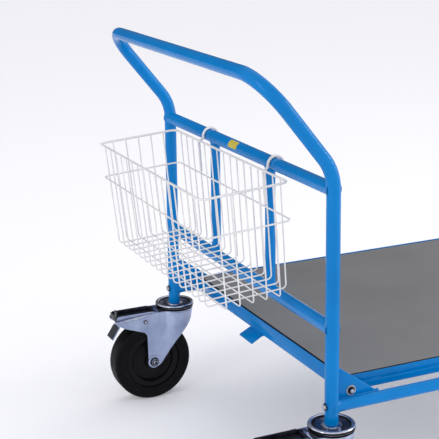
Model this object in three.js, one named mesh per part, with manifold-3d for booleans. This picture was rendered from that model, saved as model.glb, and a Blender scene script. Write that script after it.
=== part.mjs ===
// Platform trolley with a tubular push handle and a lift-off wire basket.
// Millimetres, +Z up, floor at z = 0. X runs across the trolley and Y from the
// handle end to the far end. Dimensions along Y are counted from the uprights;
// at the end of the file the group is moved so that the origin lies on the floor
// below the middle of the whole trolley.
import * as THREE from "three";
import { mergeVertices } from "three/addons/utils/BufferGeometryUtils.js";
import Module from "manifold-3d";

const wasm = await Module();
wasm.setup();

const gap = 0.3; // clearance left between touching pieces

// frame tubes
const tube = 28; // outside diameter of the uprights, handle and crossbars
const wall = 2; // tube wall
const strut = 22; // thin vertical struts between the crossbars
const runner = 25; // side tubes and cross tubes under the deck
const uprightX = 395; // from the middle of the trolley to an upright
const foot = 236; // lower end of the uprights and rear posts
const lowerBar = 434;
const upperBar = 711;
const strutX = 135;
const runnerZ = 273;

// handle
const handleBend = 746; // height where the leg line leaves the upright line
const handleBendRadius = 100;
const gripY = -150;
const gripZ = 933;
const gripCorner = 81;

// deck
const boardWidth = 691;
const boardLength = 996;
const board = 12;
const deckTop = 310;
const boardGap = 5; // shadow gap round the board
const sheet = 3; // thickness of the deck frame's angle steel
const flange = 31; // height of its upright leg
const ledge = 24; // width of its leg under the board
const sideBar = { thick: 5, low: deckTop - 30, high: deckTop - 15 };
const frameFront = 47;
const railLow = deckTop - flange;
const ledgeTop = deckTop - board - 0.7;
const boardFront = frameFront + sheet + boardGap;
const frameRear = boardFront + boardLength + boardGap + sheet;
const railInner = boardWidth / 2 + boardGap;
const railOuter = railInner + sheet;
const sideOuter = railOuter + sideBar.thick;
const postY = frameRear + frameFront;
const postTop = 326;
const crossTubes = [330, 780];

// gussets between uprights and rails
const plate = 4;
const gussetRise = 354;
const gussetReach = 101;
const gussetX = { inner: uprightX - 10.2, outer: uprightX - 10.2 + plate };
const gussetBolt = { y: 47, z: 297 };
const bush = 9; // radius of the spacer bush between rail and gusset

// castors
const wheelRadius = 100;
const treadWidth = 50;
const trail = 70; // from the swivel axis back to the axle
const forkInner = 27;
const forkSheet = 3;
const rimRadius = 70;
const hubHalf = 26;
const axle = 5.9;
const headRadius = 48;
const stemBoltZ = 276;
const brakePivot = { y: -58, z: 222 };

// basket, in its own frame: origin at the foot of the back wall, Y pointing back
const basket = { topHalf: 284, floorHalf: 276, topDepth: 192, floorDepth: 184, height: 238 };
const basketTilt = 4.2; // degrees, mouth leaning outward
const basketFoot = { y: -15.5, z: 470 };
const mat = 4; // thickness of a wire mat
const matWire = 3; // width of a wire in a mat
const mats = { long: 9, short: 3 }; // cells along a long and a short mat
const hookWire = 6;
const hookX = 160;

const paint = (name, color, roughness = 0.4, metalness = 0) =>
  new THREE.MeshStandardMaterial({ name, color, roughness, metalness });
const blue = paint("blue_powder_coat", 0x0a78c8, 0.35);
const grey = paint("grey_deck", 0x7f7f82, 0.7);
const zinc = paint("zinc_plate", 0xb9c0d6, 0.3, 0.9);
const dark = paint("dark_steel", 0x2a2c33, 0.4, 0.7);
const rubber = paint("black_rubber", 0x141416, 0.8);
const plastic = paint("black_plastic", 0x1b1b1e, 0.5);
const white = paint("white_coated_wire", 0xf1f2f4, 0.4);
const yellow = paint("yellow_label", 0xe0c83c, 0.5);

const model = new THREE.Group();

function solid(geometry) {
  const bare = geometry.index ? geometry.toNonIndexed() : geometry.clone();
  bare.deleteAttribute("normal");
  bare.deleteAttribute("uv");
  const merged = mergeVertices(bare, 1e-4);
  return new wasm.Manifold(
    new wasm.Mesh({
      numProp: 3,
      vertProperties: new Float32Array(merged.attributes.position.array),
      triVerts: new Uint32Array(merged.index.array),
    }),
  );
}

function geometryOf(body) {
  const { vertProperties, triVerts } = body.getMesh();
  const geometry = new THREE.BufferGeometry();
  geometry.setAttribute("position", new THREE.BufferAttribute(vertProperties, 3));
  geometry.setIndex(new THREE.BufferAttribute(triVerts, 1));
  geometry.computeVertexNormals();
  return geometry;
}

function add(name, body, material, group = model) {
  const mesh = new THREE.Mesh(geometryOf(body), material.clone());
  mesh.name = name;
  group.add(mesh);
  return mesh;
}

const join = (...bodies) => bodies.reduce((all, body) => all.add(body));
const cut = (body, ...tools) => tools.reduce((left, tool) => left.subtract(tool), body);

function box(x, y, z) {
  const geometry = new THREE.BoxGeometry(x[1] - x[0], y[1] - y[0], z[1] - z[0]);
  geometry.translate((x[0] + x[1]) / 2, (y[0] + y[1]) / 2, (z[0] + z[1]) / 2);
  return solid(geometry);
}

// a straight round bar of the given radius between two points
function rod(radius, from, to, sides = 16) {
  const a = new THREE.Vector3(...from);
  const b = new THREE.Vector3(...to);
  const geometry = new THREE.CylinderGeometry(radius, radius, a.distanceTo(b), sides);
  const turn = new THREE.Quaternion().setFromUnitVectors(
    new THREE.Vector3(0, 1, 0),
    b.clone().sub(a).normalize(),
  );
  geometry.applyQuaternion(turn);
  geometry.translate(...a.add(b).multiplyScalar(0.5).toArray());
  return solid(geometry);
}

// a straight tube, open at both ends
function pipe(diameter, from, to, sides = 16) {
  const a = new THREE.Vector3(...from);
  const b = new THREE.Vector3(...to);
  const past = b.clone().sub(a).normalize().multiplyScalar(5);
  const bore = rod(diameter / 2 - wall, a.clone().sub(past), b.clone().add(past), sides);
  return cut(rod(diameter / 2, from, to, sides), bore);
}

// turned about Z; the profile holds [radius, height] points
function turned(profile, segments = 20) {
  const points = profile.map(([r, z]) => new THREE.Vector2(r, z));
  if (THREE.ShapeUtils.area(points) < 0) points.reverse();
  return solid(new THREE.LatheGeometry(points, segments).rotateX(Math.PI / 2));
}

// an outline of [y, z] points, filled and given a thickness along X
function slab(outline, x0, x1) {
  const shape = new THREE.Shape(outline.map(([y, z]) => new THREE.Vector2(y, z)));
  const geometry = new THREE.ExtrudeGeometry(shape, { depth: x1 - x0, bevelEnabled: false });
  const cyclic = new THREE.Matrix4().set(0, 0, 1, x0, 1, 0, 0, 0, 0, 1, 0, 0, 0, 0, 0, 1);
  return solid(geometry.applyMatrix4(cyclic));
}

const arc = (y, z, radius, from, to, steps) =>
  Array.from({ length: steps + 1 }, (_, i) => {
    const a = THREE.MathUtils.degToRad(from + ((to - from) * i) / steps);
    return [y + radius * Math.cos(a), z + radius * Math.sin(a)];
  });

// A tube's route: straight runs joined by arcs, with a station only where it turns.
class BentPath extends THREE.Curve {
  constructor(corners, radii, stepDegrees = 18) {
    super();
    this.stations = [corners[0]];
    for (let i = 1; i < corners.length - 1; i++)
      this.stations.push(...bend(corners[i - 1], corners[i], corners[i + 1], radii[i - 1], stepDegrees));
    this.stations.push(corners.at(-1));
  }
  index(u) {
    return Math.round(u * (this.stations.length - 1));
  }
  getPointAt(u, target = new THREE.Vector3()) {
    return target.copy(this.stations[this.index(u)]);
  }
  getTangentAt(u, target = new THREE.Vector3()) {
    const i = this.index(u);
    const before = this.stations[Math.max(i - 1, 0)];
    const after = this.stations[Math.min(i + 1, this.stations.length - 1)];
    const here = this.stations[i];
    const arriving = here.clone().sub(before).normalize();
    const leaving = after.clone().sub(here).normalize();
    return target.copy(arriving).add(leaving).normalize();
  }
}

function bend(before, corner, after, radius, stepDegrees) {
  const a = before.clone().sub(corner).normalize();
  const b = after.clone().sub(corner).normalize();
  const inner = a.angleTo(b);
  const bisector = a.clone().add(b).normalize();
  const centre = corner.clone().addScaledVector(bisector, radius / Math.sin(inner / 2));
  const start = corner.clone().addScaledVector(a, radius / Math.tan(inner / 2)).sub(centre);
  const axis = start.clone().cross(bisector.clone().negate()).normalize();
  const sweep = Math.PI - inner;
  const steps = Math.max(2, Math.ceil(THREE.MathUtils.radToDeg(sweep) / stepDegrees));
  return Array.from({ length: steps + 1 }, (_, i) =>
    start.clone().applyAxisAngle(axis, (sweep * i) / steps).add(centre),
  );
}

function sweep(path, radius, bore = 0, halfSides = 8) {
  const section = new THREE.Shape().absarc(0, 0, radius, 0, 2 * Math.PI);
  if (bore) section.holes.push(new THREE.Path().absarc(0, 0, bore, 0, 2 * Math.PI));
  const steps = path.stations.length - 1;
  return solid(
    new THREE.ExtrudeGeometry(section, { steps, curveSegments: halfSides, extrudePath: path }),
  );
}

const point = (x, y, z) => new THREE.Vector3(x, y, z);
const sides = { left: -1, right: 1 };

// ---- handle frame -----------------------------------------------------------

function stemHole(side) {
  return rod(4 + gap, [side * uprightX, -30, stemBoltZ], [side * uprightX, 0, stemBoltZ], 12);
}

function handlePath() {
  const corners = [
    point(-uprightX, 0, foot + gap),
    point(-uprightX, 0, handleBend),
    point(-uprightX, gripY, gripZ),
    point(uprightX, gripY, gripZ),
    point(uprightX, 0, handleBend),
    point(uprightX, 0, foot + gap),
  ];
  return new BentPath(corners, [handleBendRadius, gripCorner, gripCorner, handleBendRadius]);
}

function handleTube() {
  const body = sweep(handlePath(), tube / 2, tube / 2 - wall);
  return cut(body, stemHole(-1), stemHole(1));
}

// the round shape that a tube's end is coped to
const saddle = (diameter, from, to) => rod(diameter / 2 + gap, from, to, 24);
const uprightSaddle = (side, y = 0) =>
  saddle(tube, [side * uprightX, y, foot - 20], [side * uprightX, y, handleBend]);

function crossbar(height) {
  const bar = pipe(tube, [-uprightX + 6, 0, height], [uprightX - 6, 0, height]);
  return cut(bar, sweep(handlePath(), tube / 2 + gap));
}

function verticalStrut(side) {
  const x = side * strutX;
  const reach = [-strutX - 40, strutX + 40];
  const bars = [lowerBar, upperBar].map((z) => saddle(tube, [reach[0], 0, z], [reach[1], 0, z]));
  return cut(pipe(strut, [x, 0, lowerBar + 6], [x, 0, upperBar - 6], 12), ...bars);
}

add("handle_tube", handleTube(), blue);
add("upper_crossbar", crossbar(upperBar), blue);
add("lower_crossbar", crossbar(lowerBar), blue);
for (const [name, side] of Object.entries(sides)) add("strut_" + name, verticalStrut(side), blue);

// a blank sticker wrapped a quarter way round the upper crossbar
function labelPlate() {
  const outside = arc(0, upperBar, tube / 2 + gap + 0.7, 105, 185, 6);
  const inside = arc(0, upperBar, tube / 2 + gap, 185, 105, 6);
  return slab([...outside, ...inside], -38, 2);
}
add("label_plate", labelPlate(), yellow);

// ---- side tubes, rear posts and cross tubes -----------------------------------

function sideTube(side) {
  const x = side * uprightX;
  const run = pipe(runner, [x, 6, runnerZ], [x, postY - 6, runnerZ], 14);
  return cut(run, uprightSaddle(side), uprightSaddle(side, postY));
}

function crossTube(y) {
  const z = railLow - gap - runner / 2; // the side rails rest on it
  const x = uprightX - 5;
  const ends = [-uprightX, uprightX].map((e) =>
    saddle(runner, [e, y - 40, runnerZ], [e, y + 40, runnerZ]),
  );
  return cut(pipe(runner, [-x, y, z], [x, y, z], 14), ...ends);
}

function postCap(side) {
  const profile = [
    [0, postTop - 12],
    [tube / 2 - wall - gap, postTop - 12],
    [tube / 2 - wall - gap, postTop + gap],
    [tube / 2, postTop + gap],
    [tube / 2, postTop + 2],
    [tube / 2 - 2, postTop + 3.5],
    [0, postTop + 3.5],
  ];
  return turned(profile, 16).translate([side * uprightX, postY, 0]);
}

for (const [name, side] of Object.entries(sides)) {
  const x = side * uprightX;
  add("side_tube_" + name, sideTube(side), blue);
  add("rear_post_" + name, pipe(tube, [x, postY, foot + gap], [x, postY, postTop]), blue);
  add("post_cap_" + name, postCap(side), plastic);
}
add("cross_tube_front", crossTube(crossTubes[0]), blue);
add("cross_tube_rear", crossTube(crossTubes[1]), blue);

// ---- gussets -------------------------------------------------------------------

const across = (side, a, b) => (side > 0 ? [a, b] : [-b, -a]);

function frontGusset(side) {
  const low = runnerZ + runner / 2 - 1;
  const outline = [
    [tube / 2 - 1, low],
    [gussetReach, low],
    [gussetReach, low + 4],
    [tube / 2 - 1, gussetRise],
  ];
  const { y, z } = gussetBolt;
  const x = side * uprightX;
  const body = slab(outline, ...across(side, gussetX.inner, gussetX.outer));
  const beam = saddle(runner, [x, 0, runnerZ], [x, gussetReach + 20, runnerZ]);
  const hole = rod(4 + gap, [x - side * 20, y, z], [x, y, z], 12);
  return cut(body, uprightSaddle(side), beam, hole);
}

// round spacer between the side rail and the gusset, drilled for the bolt
function gussetBush(side) {
  const { y, z } = gussetBolt;
  const body = rod(bush, [side * (sideOuter + gap), y, z], [side * (gussetX.inner - gap), y, z], 18);
  return cut(body, rod(4 + gap, [side * (sideOuter + 8), y, z], [side * uprightX, y, z], 12));
}

function gussetBoltBody(side) {
  const { y, z } = gussetBolt;
  const stage = (radius, from, to, corners) =>
    rod(radius, [side * from, y, z], [side * to, y, z], corners);
  const outside = gussetX.outer + gap;
  return join(
    stage(4, sideOuter + 12, outside + 5, 12),
    stage(9, outside, outside + 1.6, 20),
    stage(6.5, outside + 1, outside + 6, 6),
  );
}

for (const [name, side] of Object.entries(sides)) {
  add("gusset_" + name, frontGusset(side), blue);
  add("gusset_bush_" + name, gussetBush(side), blue);
  add("gusset_bolt_" + name, gussetBoltBody(side), zinc);
}

// ---- deck ------------------------------------------------------------------------

// angle steel with a flat bar along its outer face
function sideRail(side) {
  const length = [frameFront, frameRear];
  const ledgeLength = [frameFront + sheet, frameRear - sheet];
  const barLength = [frameFront + 22, frameRear - 6];
  return join(
    box(across(side, railInner, railOuter), length, [railLow, deckTop]),
    box(across(side, railInner - ledge, railOuter), ledgeLength, [ledgeTop - sheet, ledgeTop]),
    box(across(side, railOuter - 1, sideOuter), barLength, [sideBar.low, sideBar.high]),
  );
}

// angle steel across the end, between the side rails
function endRail(edge, inward) {
  const along = (a, b) => [edge + inward * a, edge + inward * b].sort((m, n) => m - n);
  const half = railInner - gap;
  const ledgeHalf = railInner - ledge - gap;
  return join(
    box([-half, half], along(0, sheet), [railLow, deckTop]),
    box([-ledgeHalf, ledgeHalf], along(0, ledge), [ledgeTop - sheet, ledgeTop]),
  );
}

add("deck_rail_left", sideRail(-1), blue);
add("deck_rail_right", sideRail(1), blue);
add("deck_rail_front", endRail(frameFront, 1), blue);
add("deck_rail_rear", endRail(frameRear, -1), blue);
add(
  "deck_board",
  box(
    [-boardWidth / 2, boardWidth / 2],
    [boardFront, boardFront + boardLength],
    [ledgeTop + gap, ledgeTop + gap + board],
  ),
  grey,
);

// a steel tab welded below the front rail and bent downward
const tabOutline = [
  [frameFront + sheet, railLow - gap],
  [frameFront + sheet, railLow - gap - 3.5],
  [frameFront - 1, railLow - gap - 3.5],
  [20, railLow - 18],
  [18.5, railLow - 14.5],
  [frameFront - 1, railLow - gap],
];
add("tab_plate", slab(tabOutline, -58, 4), blue);

// ---- castors -----------------------------------------------------------------------

// stem, dished cover plate and kingpin, fixed in the upright's lower end
function stem() {
  const profile = [
    [0, foot + 64],
    [tube / 2 - wall - gap, foot + 64],
    [tube / 2 - wall - gap, foot],
    [22, foot],
    [38, foot + 4.5],
    [44, foot + 5],
    [headRadius, foot + 3],
    [headRadius, foot - 3],
    [44, foot - 5],
    [8, foot - 5],
    [8, foot - 22],
    [15, foot - 22],
    [15, foot - 27],
    [0, foot - 27],
  ];
  return turned(profile);
}

function stemBolt() {
  const front = -tube / 2 - gap;
  return join(
    rod(4, [0, front - 3, stemBoltZ], [0, 5, stemBoltZ], 8),
    rod(7, [0, front - 5.5, stemBoltZ], [0, front, stemBoltZ], 6),
  );
}

const stemBore = () => rod(4 + gap, [0, -20, stemBoltZ], [0, 6, stemBoltZ], 12);

function seal() {
  const low = foot - 8.6;
  return turned([
    [36, low],
    [45, low],
    [46.5, low + 1.6],
    [45, low + 3.2],
    [36, low + 3.2],
    [36, low],
  ]);
}

// crown disc of a fork, bored for the kingpin
function crown() {
  const top = foot - 9;
  return turned([
    [8 + gap, top],
    [40, top],
    [45, top - 4],
    [44, top - 12],
    [8 + gap, top - 12],
    [8 + gap, top],
  ]);
}

function forkPlates(outline) {
  const outer = forkInner + forkSheet;
  return [slab(outline, forkInner, outer), slab(outline, -outer, -forkInner)];
}

const axleHole = (y) =>
  rod(axle + gap, [-forkInner - 20, y, wheelRadius], [forkInner + 20, y, wheelRadius], 16);

// side plate of the swivel fork: leg down to the axle and arm back to the pedal
function swivelOutline() {
  return [
    [38, foot - 10],
    [34, foot - 26],
    [26, foot - 46],
    ...arc(-trail, wheelRadius, 16, -37, -180, 8),
    [-86, 166],
    ...arc(-98, 170, 12, 0, 62, 3),
    [-150, 201],
    [-164, 212],
    [-165, 218],
    [-60, foot - 8],
    [-36, foot - 10],
  ];
}

function swivelFork() {
  const pin = rod(3.5 + gap, [-40, brakePivot.y, brakePivot.z], [40, brakePivot.y, brakePivot.z], 12);
  const body = join(crown(), ...forkPlates(swivelOutline()));
  return cut(body, axleHole(-trail), pin);
}

function axleBolt(y) {
  const outer = forkInner + forkSheet + gap;
  const stage = (radius, from, to, corners) =>
    rod(radius, [from, y, wheelRadius], [to, y, wheelRadius], corners);
  return join(
    stage(axle, -outer - 8, outer + 10, 12),
    stage(10.5, outer, outer + 8, 6),
    stage(10.5, -outer - 7, -outer, 6),
  );
}

// pedal lever: open channel between the arms, end plate with a tongue, sloping pedal and shoe
function brakeLever() {
  const half = forkInner - 3;
  const floor = [218, 221];
  const length = [-160, -54];
  const pin = [brakePivot.y, brakePivot.z];
  return join(
    box([-half, half], length, floor),
    box([-half, -half + 2.5], length, [218, 231]),
    box([half - 2.5, half], length, [218, 231]),
    box([-half, half], [-163, -160], [214, 229]),
    box([6, half], [-163, -160], [226, 244]),
    slab([[-152, 221], [-155, 221], [-155, 203], [-176, 171], [-173, 169], [-152, 201]], -17, 17),
    slab([[-134, 219], [-118, 219], [-118, 199], [-130, 196]], -16, 16),
    rod(3.5, [-forkInner - 5, ...pin], [forkInner + 5, ...pin], 12),
  );
}

function pedalPad() {
  const slope = new THREE.Vector2(-21, -32).normalize();
  const out = new THREE.Vector2(slope.y, -slope.x).multiplyScalar(1);
  const from = new THREE.Vector2(-155, 203).addScaledVector(out, gap + 0.1);
  const corner = (along, off) => {
    const p = from.clone().addScaledVector(slope, along).addScaledVector(out, off);
    return [p.x, p.y];
  };
  return slab([corner(1, 0), corner(36, 0), corner(35, 3.5), corner(2, 3.5)], -16, 16);
}

// tyre and rim are turned about Z and then laid over so that their axis is X
const laidOver = (body) => body.rotate([0, 90, 0]);

function tyre() {
  const half = treadWidth / 2;
  const profile = [
    [rimRadius + gap, -half + 2],
    [90, -half],
    [97, -half + 3],
    [wheelRadius, -half + 8],
    [wheelRadius, half - 8],
    [97, half - 3],
    [90, half],
    [rimRadius + gap, half - 2],
    [rimRadius + gap, -half + 2],
  ];
  return laidOver(turned(profile, 36));
}

function rim() {
  const profile = [
    [axle + gap, -hubHalf],
    [19, -hubHalf],
    [21, -10],
    [52, -6],
    [60, -19],
    [rimRadius, -19],
    [rimRadius, 19],
    [60, 19],
    [52, 6],
    [21, 10],
    [19, hubHalf],
    [axle + gap, hubHalf],
    [axle + gap, -hubHalf],
  ];
  return laidOver(turned(profile, 16));
}

function addWheel(group, name, y) {
  const at = [0, y, wheelRadius];
  add("tyre_" + name, tyre().translate(at), rubber, group);
  add("rim_" + name, rim().translate(at), plastic, group);
  add("axle_" + name, axleBolt(y), zinc, group);
}

function addSwivelCastor(name, side) {
  const castor = new THREE.Group();
  castor.position.set(side * uprightX, 0, 0);
  model.add(castor);
  add("stem_" + name, cut(stem(), stemBore()), dark, castor);
  add("stem_bolt_" + name, stemBolt(), zinc, castor);
  add("seal_" + name, seal(), plastic, castor);
  add("fork_" + name, swivelFork(), zinc, castor);
  add("brake_lever_" + name, brakeLever(), dark, castor);
  add("pedal_pad_" + name, pedalPad(), plastic, castor);
  addWheel(castor, name, -trail);
}

// fixed fork: stem, cover disc and two straight legs in one piece
function fixedFork() {
  const top = foot - 5;
  const outline = [
    [40, top - 5],
    [36, top - 22],
    ...arc(0, wheelRadius, 16, -15, -165, 8),
    [-36, top - 22],
    [-40, top - 5],
  ];
  const head = turned([
    [0, foot + 64],
    [tube / 2 - wall - gap, foot + 64],
    [tube / 2 - wall - gap, foot],
    [headRadius - 6, foot],
    [headRadius - 2, top],
    [headRadius - 4, top - 12],
    [0, top - 12],
  ]);
  return cut(join(head, ...forkPlates(outline)), axleHole(0));
}

function addFixedCastor(name, side) {
  const castor = new THREE.Group();
  castor.position.set(side * uprightX, postY, 0);
  model.add(castor);
  add("rear_fork_" + name, fixedFork(), zinc, castor);
  addWheel(castor, "rear_" + name, 0);
}

for (const [name, side] of Object.entries(sides)) {
  addSwivelCastor(name, side);
  addFixedCastor(name, side);
}

// ---- basket ---------------------------------------------------------------------------

const basketGroup = new THREE.Group();
basketGroup.position.set(0, basketFoot.y, basketFoot.z);
basketGroup.rotation.x = THREE.MathUtils.degToRad(basketTilt);
model.add(basketGroup);

// A flat mat of wires with four corners, given from the lower left, seen from outside.
// lines holds where its cross wires lie, as fractions of the height.
function wireMat(corners, columns, lines) {
  const [p0, p1, p2, p3] = corners;
  const right = p1.clone().sub(p0).normalize();
  const outward = right.clone().cross(p3.clone().sub(p0)).normalize();
  const up = outward.clone().cross(right);
  const place = new THREE.Matrix4().makeBasis(right, up, outward).setPosition(p0);
  const flat = ([u, v]) => {
    const p = p0.clone().lerp(p1, u).lerp(p3.clone().lerp(p2, u), v).sub(p0);
    return new THREE.Vector2(p.dot(right), p.dot(up));
  };
  const panel = (outline, from, to) => {
    const shape = new THREE.Shape(outline.map(flat));
    const geometry = new THREE.ExtrudeGeometry(shape, { depth: to - from, bevelEnabled: false });
    return solid(geometry.translate(0, 0, from).applyMatrix4(place));
  };
  const rectangle = ([u0, u1], [v0, v1]) => [[u0, v0], [u1, v0], [u1, v1], [u0, v1]];
  // open cells between neighbouring wires; the outermost wires lie wholly inside the edge
  const cells = (marks, wire) =>
    marks.slice(1).map((mark, i) => [
      marks[i] + (i === 0 ? wire : wire / 2),
      mark - (i === marks.length - 2 ? wire : wire / 2),
    ]);
  const marks = Array.from({ length: columns + 1 }, (_, i) => i / columns);
  const across = cells(marks, matWire / p0.distanceTo(p1));
  const upward = cells(lines, matWire / p0.distanceTo(p3));
  let body = panel(rectangle([0, 1], [0, 1]), -mat, 0);
  for (const u of across)
    for (const v of upward) body = body.subtract(panel(rectangle(u, v), -mat - 1, 1));
  return body;
}

function addBasket() {
  const { topHalf, floorHalf, topDepth, floorDepth, height } = basket;
  const inset = mat + 1; // keeps neighbouring mats apart at the corners
  const top = height - hookWire - 1;
  const corner = (half, depth, z) => point(half, depth, z);
  const low = mat + 1;
  const wallLines = [0, 0.655, 1];
  add(
    "basket_back",
    wireMat(
      [
        corner(floorHalf - inset, 0, low),
        corner(-floorHalf + inset, 0, low),
        corner(-topHalf + inset, 0, top),
        corner(topHalf - inset, 0, top),
      ],
      mats.long,
      wallLines,
    ),
    white,
    basketGroup,
  );
  add(
    "basket_front",
    wireMat(
      [
        corner(-floorHalf + inset, -floorDepth, low),
        corner(floorHalf - inset, -floorDepth, low),
        corner(topHalf - inset, -topDepth, top),
        corner(-topHalf + inset, -topDepth, top),
      ],
      mats.long,
      wallLines,
    ),
    white,
    basketGroup,
  );
  add(
    "basket_left",
    wireMat(
      [
        corner(-floorHalf, 0, low),
        corner(-floorHalf, -floorDepth, low),
        corner(-topHalf, -topDepth, top),
        corner(-topHalf, 0, top),
      ],
      mats.short,
      wallLines,
    ),
    white,
    basketGroup,
  );
  add(
    "basket_right",
    wireMat(
      [
        corner(floorHalf, -floorDepth, low),
        corner(floorHalf, 0, low),
        corner(topHalf, 0, top),
        corner(topHalf, -topDepth, top),
      ],
      mats.short,
      wallLines,
    ),
    white,
    basketGroup,
  );
  add(
    "basket_floor",
    wireMat(
      [
        corner(-floorHalf, 0, 0),
        corner(floorHalf, 0, 0),
        corner(floorHalf, -floorDepth, 0),
        corner(-floorHalf, -floorDepth, 0),
      ],
      mats.long,
      [0, 1 / 3, 2 / 3, 1],
    ),
    white,
    basketGroup,
  );
  const rimZ = [height - hookWire, height];
  const band = (x, y) => box(x, y, rimZ);
  const rimWire = join(
    band([-topHalf, topHalf], [-hookWire, 0]),
    band([-topHalf, topHalf], [-topDepth, -topDepth + hookWire]),
    band([-topHalf, -topHalf + hookWire], [-topDepth, 0]),
    band([topHalf - hookWire, topHalf], [-topDepth, 0]),
  );
  add("basket_rim", rimWire, white, basketGroup);
}

addBasket();

// wire hook over the upper crossbar, with its shank down the back wall
function basketHook(side) {
  const x = side * hookX;
  const reach = tube / 2 + 0.8 + hookWire / 2;
  const tilt = THREE.MathUtils.degToRad(basketTilt);
  const wallAt = (h) => [
    basketFoot.y - h * Math.sin(tilt) + (gap + hookWire / 2) * Math.cos(tilt),
    basketFoot.z + h * Math.cos(tilt) + (gap + hookWire / 2) * Math.sin(tilt),
  ];
  const corners = [
    point(x, ...wallAt(160)),
    point(x, ...wallAt(basket.height - 10)),
    point(x, -reach, upperBar - 4),
    point(x, -reach, upperBar + reach),
    point(x, reach, upperBar + reach),
    point(x, reach, upperBar - 12),
  ];
  const radii = [6, 5, reach - 0.01, reach - 0.01];
  return sweep(new BentPath(corners, radii, 22.5), hookWire / 2, 0, 4);
}
for (const [name, side] of Object.entries(sides)) add("basket_hook_" + name, basketHook(side), white);

// ---- origin on the floor under the middle of the trolley ----------------------------------
const extent = new THREE.Box3().setFromObject(model);
model.position.y = -(extent.min.y + extent.max.y) / 2;
model.updateMatrixWorld(true);

export default model;
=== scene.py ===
import math

import bmesh
import bpy
from mathutils import Matrix, Vector


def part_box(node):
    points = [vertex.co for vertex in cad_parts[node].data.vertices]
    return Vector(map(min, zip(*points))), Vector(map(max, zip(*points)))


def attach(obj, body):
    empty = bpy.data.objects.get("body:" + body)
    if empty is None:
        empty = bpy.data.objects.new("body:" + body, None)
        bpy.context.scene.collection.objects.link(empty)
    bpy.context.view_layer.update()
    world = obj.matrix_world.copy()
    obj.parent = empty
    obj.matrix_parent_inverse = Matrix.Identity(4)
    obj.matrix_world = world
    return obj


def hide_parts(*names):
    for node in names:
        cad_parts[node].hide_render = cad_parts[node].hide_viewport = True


# Platform trolley with a wire basket. Settings are in millimetres and degrees;
# Y is counted from the uprights and Z from the floor.
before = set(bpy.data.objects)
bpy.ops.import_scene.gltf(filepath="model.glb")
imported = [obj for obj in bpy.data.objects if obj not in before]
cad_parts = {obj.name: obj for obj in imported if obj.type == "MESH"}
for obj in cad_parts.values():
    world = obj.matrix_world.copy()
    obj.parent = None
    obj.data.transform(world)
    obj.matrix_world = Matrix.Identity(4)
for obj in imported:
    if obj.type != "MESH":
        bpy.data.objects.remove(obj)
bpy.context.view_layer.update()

lowBar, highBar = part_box("upper_crossbar")
uprightY = (lowBar[1] + highBar[1]) / 2
lowPost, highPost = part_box("rear_post_right")
postY = (lowPost[1] + highPost[1]) * 500 - uprightY * 1000
sides = {"left": -1, "right": 1}


def at(x, y, z):
    return Vector((x, y, z)) / 1000 + Vector((0, uprightY, 0))


# ---- materials ------------------------------------------------------------
def fromHex(code):
    parts = [int(code[i : i + 2], 16) / 255 for i in (1, 3, 5)]
    return (*[c / 12.92 if c < 0.04045 else ((c + 0.055) / 1.055) ** 2.4 for c in parts], 1.0)


def addNode(material, kind, values=None, links=None, stops=None):
    node = material.node_tree.nodes.new("ShaderNode" + kind)
    for key, value in (values or {}).items():
        if isinstance(key, str) and hasattr(node, key):
            setattr(node, key, value)
        else:
            node.inputs[key].default_value = value
    for key, source in (links or {}).items():
        material.node_tree.links.new(source, node.inputs[key])
    for i, (place, colour) in enumerate(stops or []):
        element = node.color_ramp.elements[i] if i < 2 else node.color_ramp.elements.new(place)
        element.position, element.color = place, colour
    return node


def perMetre(millimetres):  # noise scale that gives marks of that size
    return 1000 / millimetres


# Base of every finish: two shades mixed by a broad noise, a roughness that wanders
# between two values, and a fine grain in the bump.
def makeFinish(s):
    material = bpy.data.materials.new(s["name"])
    material.use_nodes = True
    tree = material.node_tree
    shader = tree.nodes["Principled BSDF"]
    place = addNode(material, "TexCoord").outputs["Object"]
    if "stretch" in s:
        place = addNode(material, "Mapping", {"Scale": s["stretch"]}, {"Vector": place}).outputs[0]
    broad = addNode(
        material,
        "TexNoise",
        {"Scale": perMetre(s["cloudMm"]), "Detail": 4.0, "Roughness": 0.55},
        {"Vector": place},
    ).outputs["Fac"]
    shade = addNode(
        material,
        "ValToRGB",
        {},
        {"Fac": broad},
        [(0.32, fromHex(s["dark"])), (0.68, fromHex(s["light"]))],
    ).outputs["Color"]
    fine = addNode(
        material,
        "TexNoise",
        {"Scale": perMetre(s["grainMm"]), "Detail": 3.0, "Roughness": 0.6},
        {"Vector": place},
    ).outputs["Fac"]
    mixed = addNode(
        material, "Math", {"operation": "MULTIPLY_ADD", 1: 0.5}, {0: fine, 2: broad}
    ).outputs[0]
    rough = addNode(
        material,
        "MapRange",
        {"From Min": 0.45, "From Max": 1.0, "To Min": s["gloss"][0], "To Max": s["gloss"][1]},
        {"Value": mixed},
    ).outputs["Result"]
    bump = addNode(
        material,
        "Bump",
        {"Strength": s.get("bumpStrength", 0.5), "Distance": s["bumpMm"] / 1000},
        {"Height": fine},
    ).outputs["Normal"]
    shader.inputs["Metallic"].default_value = s.get("metallic", 0.0)
    if "ior" in s:
        shader.inputs["IOR"].default_value = s["ior"]
    if "specular" in s:
        shader.inputs["Specular IOR Level"].default_value = s["specular"]
    tree.links.new(shade, shader.inputs["Base Color"])
    tree.links.new(rough, shader.inputs["Roughness"])
    tree.links.new(bump, shader.inputs["Normal"])
    return material, {"place": place, "shade": shade, "rough": rough, "bump": bump, "shader": shader}


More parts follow.
